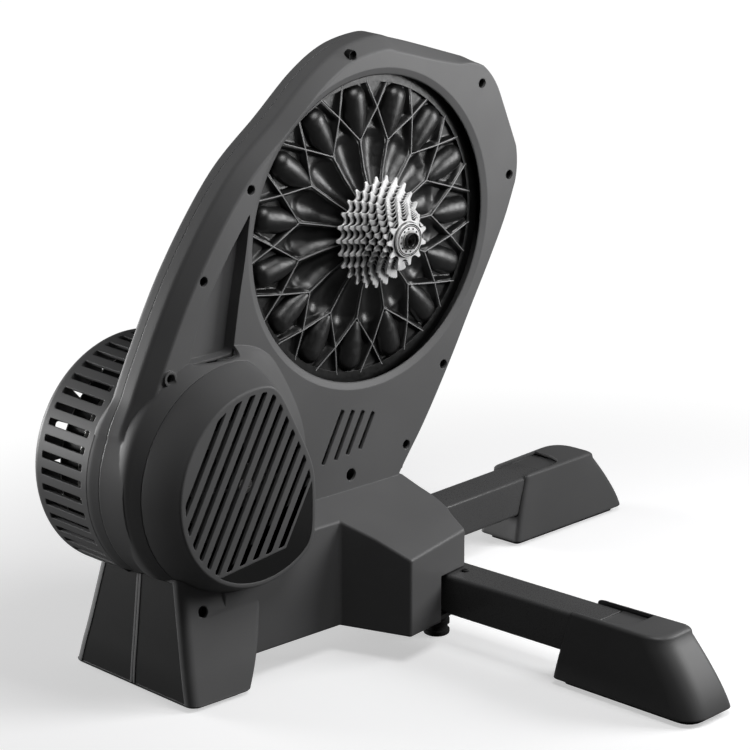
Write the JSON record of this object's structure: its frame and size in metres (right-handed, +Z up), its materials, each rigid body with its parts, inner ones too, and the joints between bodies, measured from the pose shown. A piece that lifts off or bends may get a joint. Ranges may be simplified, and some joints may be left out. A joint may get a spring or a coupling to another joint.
{
  "type": "direct drive bike trainer",
  "caption": "Wheel-off bicycle trainer with a cassette on a belt-driven pulley, a braked flywheel in a slotted drum, and two fold-out legs.",
  "frame": {"origin": "middle of the bounding box's footprint, on the floor", "axes": "+X forward, towards the bicycle's front; +Y to the left, so the cassette is on the -Y side; +Z up"},
  "size_m": [0.722, 0.55, 0.5684],
  "materials": {
    "shell_plastic": "fine grained moulded plastic, dark grey",
    "black_plastic": "satin black",
    "gloss_plastic": "gloss black with folded facets",
    "coated_steel": "dark powder coat",
    "steel": "bright nickel-plated and turned",
    "black_steel": "black oxide",
    "aluminium": "cast and machined",
    "rubber": "matt black rubber",
    "board": "green circuit board"
  },
  "bodies": {
    "housing": {"right_shell": "shell_plastic", "left_shell": "shell_plastic", "vent_cover": "shell_plastic", "frame_plate": "aluminium", "lower_plate": "coated_steel", "upper_plate": "coated_steel", "belt": "rubber", "control_board": "board", "power_inlet": "black_plastic", "right_pivot_bolt": "steel", "right_support_foot": "rubber", "right_plinth_pad": "rubber", "left_pivot_bolt": "steel", "left_support_foot": "rubber", "left_plinth_pad": "rubber", "drum_cover": "shell_plastic", "brake_coils": "black_plastic", "shaft_bearing_inner": "steel", "shaft_bearing_outer": "steel", "main_axle": "steel", "right_end_cap": "steel", "left_end_cap": "steel", "axle_spacer": "steel", "pulley_bearing_outer": "steel", "pulley_bearing_inner": "steel", "freehub_bearing_inner": "steel", "freehub_bearing_outer": "steel"},
    "flywheel_rotor": {"flywheel": "steel", "flywheel_shaft": "steel", "small_pulley": "aluminium", "brake_disc": "aluminium"},
    "pulley_rotor": {"drive_pulley": "gloss_plastic"},
    "cassette": {"freehub_body": "aluminium", "sprocket_25": "steel", "sprocket_23": "steel", "sprocket_21": "steel", "sprocket_19": "steel", "sprocket_17": "steel", "sprocket_16": "steel", "sprocket_15": "steel", "sprocket_14": "steel", "sprocket_13": "steel", "sprocket_12": "steel", "sprocket_11": "steel", "lockring": "black_steel"},
    "right_leg": {"right_leg_bar": "coated_steel", "right_foot": "black_plastic", "right_foot_pad": "rubber"},
    "left_leg": {"left_leg_bar": "coated_steel", "left_foot": "black_plastic", "left_foot_pad": "rubber"},
    "right_pin": {"right_detent": "steel"},
    "left_pin": {"left_detent": "steel"}
  },
  "joints": [
    {"name": "flywheel_spin", "type": "hinge", "parent": "housing", "child": "flywheel_rotor", "pos_m": [-0.25003, 0.12323, 0.1965], "axis": [0, 1, 0], "continuous": true},
    {"name": "pulley_spin", "type": "hinge", "parent": "housing", "child": "pulley_rotor", "pos_m": [-0.05403, 0.12323, 0.3895], "axis": [0, 1, 0], "continuous": true},
    {"name": "cassette_spin", "type": "hinge", "parent": "housing", "child": "cassette", "pos_m": [-0.05403, 0.12323, 0.3895], "axis": [0, 1, 0], "continuous": true},
    {"name": "right_leg_fold", "type": "hinge", "parent": "housing", "child": "right_leg", "pos_m": [-0.03123, 0.11623, 0], "axis": [0, 0, 1], "range_deg": [0, 81.1]},
    {"name": "left_leg_fold", "type": "hinge", "parent": "housing", "child": "left_leg", "pos_m": [-0.03123, 0.17023, 0], "axis": [0, 0, 1], "range_deg": [0, 81.1]},
    {"name": "right_detent_push", "type": "slide", "parent": "right_leg", "child": "right_pin", "axis": [0, 0, -1], "range_m": [0, 0.002], "stiffness_N_per_m": 300},
    {"name": "left_detent_push", "type": "slide", "parent": "left_leg", "child": "left_pin", "axis": [0, 0, -1], "range_m": [0, 0.002], "stiffness_N_per_m": 300}
  ],
  "couplings": [
    {"joint": "pulley_spin", "follows": "flywheel_spin", "ratio": 0.1165}
  ]
}
